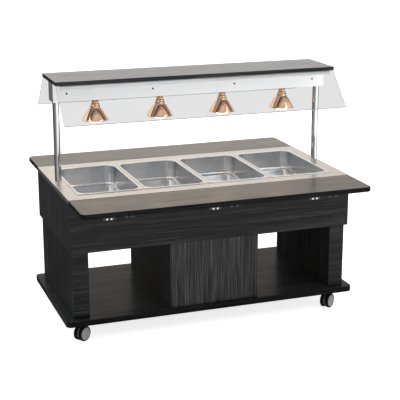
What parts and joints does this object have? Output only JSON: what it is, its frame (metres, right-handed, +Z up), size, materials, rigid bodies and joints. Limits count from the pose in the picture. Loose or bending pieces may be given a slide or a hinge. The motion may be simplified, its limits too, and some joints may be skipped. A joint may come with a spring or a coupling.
{
  "type": "buffet trolley",
  "caption": "Heated buffet trolley on casters: laminate body, steel worktop with deep pans, heat lamps under a glazed canopy and a folding shelf along each side.",
  "frame": {"origin": "on the floor under the middle of the trolley", "axes": "+X along the length towards the control end, +Y towards the rear with the cabinet door, +Z up"},
  "size_m": [1.498, 1.194, 1.2252],
  "materials": {
    "laminate": "dark wood-grain laminate, satin",
    "steel": "brushed",
    "pan_steel": "satin, deep drawn",
    "chrome": "polished",
    "copper": "polished copper",
    "brass": "satin",
    "clear_glass": "clear, ground edges",
    "bulb_glass": "frosted, lit",
    "element": "heat-darkened",
    "zinc": "zinc plated",
    "dark_metal": "black oxide",
    "caster_body": "moulded black",
    "caster_cap": "moulded grey",
    "tyre": "matte",
    "knob": "moulded black",
    "switch": "moulded green",
    "pilot_lens": "clear amber"
  },
  "bodies": {
    "frame": {"base_board": "laminate", "leg_panels": "laminate", "leg_strips": "laminate", "cabinet_sides": "laminate", "cabinet_front": "laminate", "door_hinges": "zinc", "apron_front": "laminate", "apron_rear": "laminate", "apron_ends": "laminate", "apron_bottom": "laminate", "worktop_plate": "steel", "pan_cross_bars": "steel", "well_tank": "steel", "heating_element": "element", "drain_valve": "brass", "posts": "chrome", "lamp_housing": "steel", "canopy_board": "laminate", "canopy_screws": "dark_metal", "front_glass": "clear_glass", "rear_glass": "clear_glass", "glass_rails": "steel", "lamp_shades": "copper", "lamp_holders": "chrome", "lamp_bulbs": "bulb_glass", "front_shelf_brackets": "zinc", "rear_shelf_brackets": "zinc", "control_panel": "steel", "pilot_light": "pilot_lens", "cable_gland": "knob", "caster_plates": "zinc"},
    "door": {"cabinet_door": "laminate", "door_fittings": "steel"},
    "drain_lever": {"drain_lever": "steel"},
    "thermostat_knob": {"thermostat_knob": "knob"},
    "rocker_switch": {"rocker_switch": "switch"},
    "pan_1": {"pan_1": "pan_steel"},
    "pan_2": {"pan_2": "pan_steel"},
    "pan_3": {"pan_3": "pan_steel"},
    "pan_4": {"pan_4": "pan_steel"},
    "front_shelf": {"front_shelf": "laminate", "front_shelf_arms": "zinc"},
    "front_lower_links": {"front_lower_links": "zinc"},
    "front_upper_links": {"front_upper_links": "zinc"},
    "rear_shelf": {"rear_shelf": "laminate", "rear_shelf_arms": "zinc"},
    "rear_lower_links": {"rear_lower_links": "zinc"},
    "rear_upper_links": {"rear_upper_links": "zinc"},
    "front_left_fork": {"front_left_caster_fork": "caster_body"},
    "front_left_wheels": {"front_left_caster_tyres": "tyre", "front_left_caster_hubs": "caster_cap"},
    "front_right_fork": {"front_right_caster_fork": "caster_body"},
    "front_right_wheels": {"front_right_caster_tyres": "tyre", "front_right_caster_hubs": "caster_cap"},
    "rear_left_fork": {"rear_left_caster_fork": "caster_body"},
    "rear_left_wheels": {"rear_left_caster_tyres": "tyre", "rear_left_caster_hubs": "caster_cap"},
    "rear_right_fork": {"rear_right_caster_fork": "caster_body"},
    "rear_right_wheels": {"rear_right_caster_tyres": "tyre", "rear_right_caster_hubs": "caster_cap"}
  },
  "joints": [
    {"name": "pan_1_lift", "type": "slide", "parent": "frame", "child": "pan_1", "axis": [0, 0, 1], "range_m": [0, 0.14]},
    {"name": "pan_2_lift", "type": "slide", "parent": "frame", "child": "pan_2", "axis": [0, 0, 1], "range_m": [0, 0.14]},
    {"name": "pan_3_lift", "type": "slide", "parent": "frame", "child": "pan_3", "axis": [0, 0, 1], "range_m": [0, 0.14]},
    {"name": "pan_4_lift", "type": "slide", "parent": "frame", "child": "pan_4", "axis": [0, 0, 1], "range_m": [0, 0.14]},
    {"name": "front_shelf_fold", "type": "hinge", "parent": "frame", "child": "front_shelf", "pos_m": [0, -0.364, 0.674], "axis": [1, 0, 0], "range_deg": [0, 90]},
    {"name": "front_lower_link_turn", "type": "hinge", "parent": "frame", "child": "front_lower_links", "pos_m": [0, -0.361, 0.61], "axis": [-1, 0, 0], "range_deg": [0, 56.47]},
    {"name": "front_upper_link_turn", "type": "hinge", "parent": "front_shelf", "child": "front_upper_links", "pos_m": [0, -0.489, 0.675], "axis": [1, 0, 0], "range_deg": [0, 25.06]},
    {"name": "rear_shelf_fold", "type": "hinge", "parent": "frame", "child": "rear_shelf", "pos_m": [0, 0.364, 0.674], "axis": [-1, 0, 0], "range_deg": [0, 90]},
    {"name": "rear_lower_link_turn", "type": "hinge", "parent": "frame", "child": "rear_lower_links", "pos_m": [0, 0.361, 0.61], "axis": [1, 0, 0], "range_deg": [0, 56.47]},
    {"name": "rear_upper_link_turn", "type": "hinge", "parent": "rear_shelf", "child": "rear_upper_links", "pos_m": [0, 0.489, 0.675], "axis": [-1, 0, 0], "range_deg": [0, 25.06]},
    {"name": "door_swing", "type": "hinge", "parent": "frame", "child": "door", "pos_m": [0.2285, 0.351, 0.282], "axis": [0, 0, -1], "range_deg": [0, 110]},
    {"name": "drain_lever_turn", "type": "hinge", "parent": "frame", "child": "drain_lever", "pos_m": [0, 0.192, 0.3825], "axis": [0, 1, 0], "range_deg": [0, 90]},
    {"name": "thermostat_turn", "type": "hinge", "parent": "frame", "child": "thermostat_knob", "pos_m": [0.718, 0, 0.556], "axis": [-1, 0, 0], "range_deg": [0, 270]},
    {"name": "switch_rock", "type": "hinge", "parent": "frame", "child": "rocker_switch", "pos_m": [0.718, 0.06, 0.556], "axis": [0, -1, 0], "range_deg": [0, 16]},
    {"name": "front_left_swivel", "type": "hinge", "parent": "frame", "child": "front_left_fork", "pos_m": [-0.65, -0.305, 0.088], "axis": [0, 0, 1], "continuous": true},
    {"name": "front_left_roll", "type": "hinge", "parent": "front_left_fork", "child": "front_left_wheels", "pos_m": [-0.66638, -0.31647, 0.0375], "axis": [0.5736, -0.8192, 0], "continuous": true},
    {"name": "front_right_swivel", "type": "hinge", "parent": "frame", "child": "front_right_fork", "pos_m": [0.65, -0.305, 0.088], "axis": [0, 0, 1], "continuous": true},
    {"name": "front_right_roll", "type": "hinge", "parent": "front_right_fork", "child": "front_right_wheels", "pos_m": [0.63362, -0.31647, 0.0375], "axis": [0.5736, -0.8192, 0], "continuous": true},
    {"name": "rear_left_swivel", "type": "hinge", "parent": "frame", "child": "rear_left_fork", "pos_m": [-0.65, 0.305, 0.088], "axis": [0, 0, 1], "continuous": true},
    {"name": "rear_left_roll", "type": "hinge", "parent": "rear_left_fork", "child": "rear_left_wheels", "pos_m": [-0.66638, 0.29353, 0.0375], "axis": [0.5736, -0.8192, 0], "continuous": true},
    {"name": "rear_right_swivel", "type": "hinge", "parent": "frame", "child": "rear_right_fork", "pos_m": [0.65, 0.305, 0.088], "axis": [0, 0, 1], "continuous": true},
    {"name": "rear_right_roll", "type": "hinge", "parent": "rear_right_fork", "child": "rear_right_wheels", "pos_m": [0.63362, 0.29353, 0.0375], "axis": [0.5736, -0.8192, 0], "continuous": true}
  ],
  "couplings": [
    {"joint": "front_lower_link_turn", "follows": "front_shelf_fold", "ratio": 0.62411},
    {"joint": "front_upper_link_turn", "follows": "front_shelf_fold", "ratio": 0.27506},
    {"joint": "rear_lower_link_turn", "follows": "rear_shelf_fold", "ratio": 0.62411},
    {"joint": "rear_upper_link_turn", "follows": "rear_shelf_fold", "ratio": 0.27506}
  ]
}
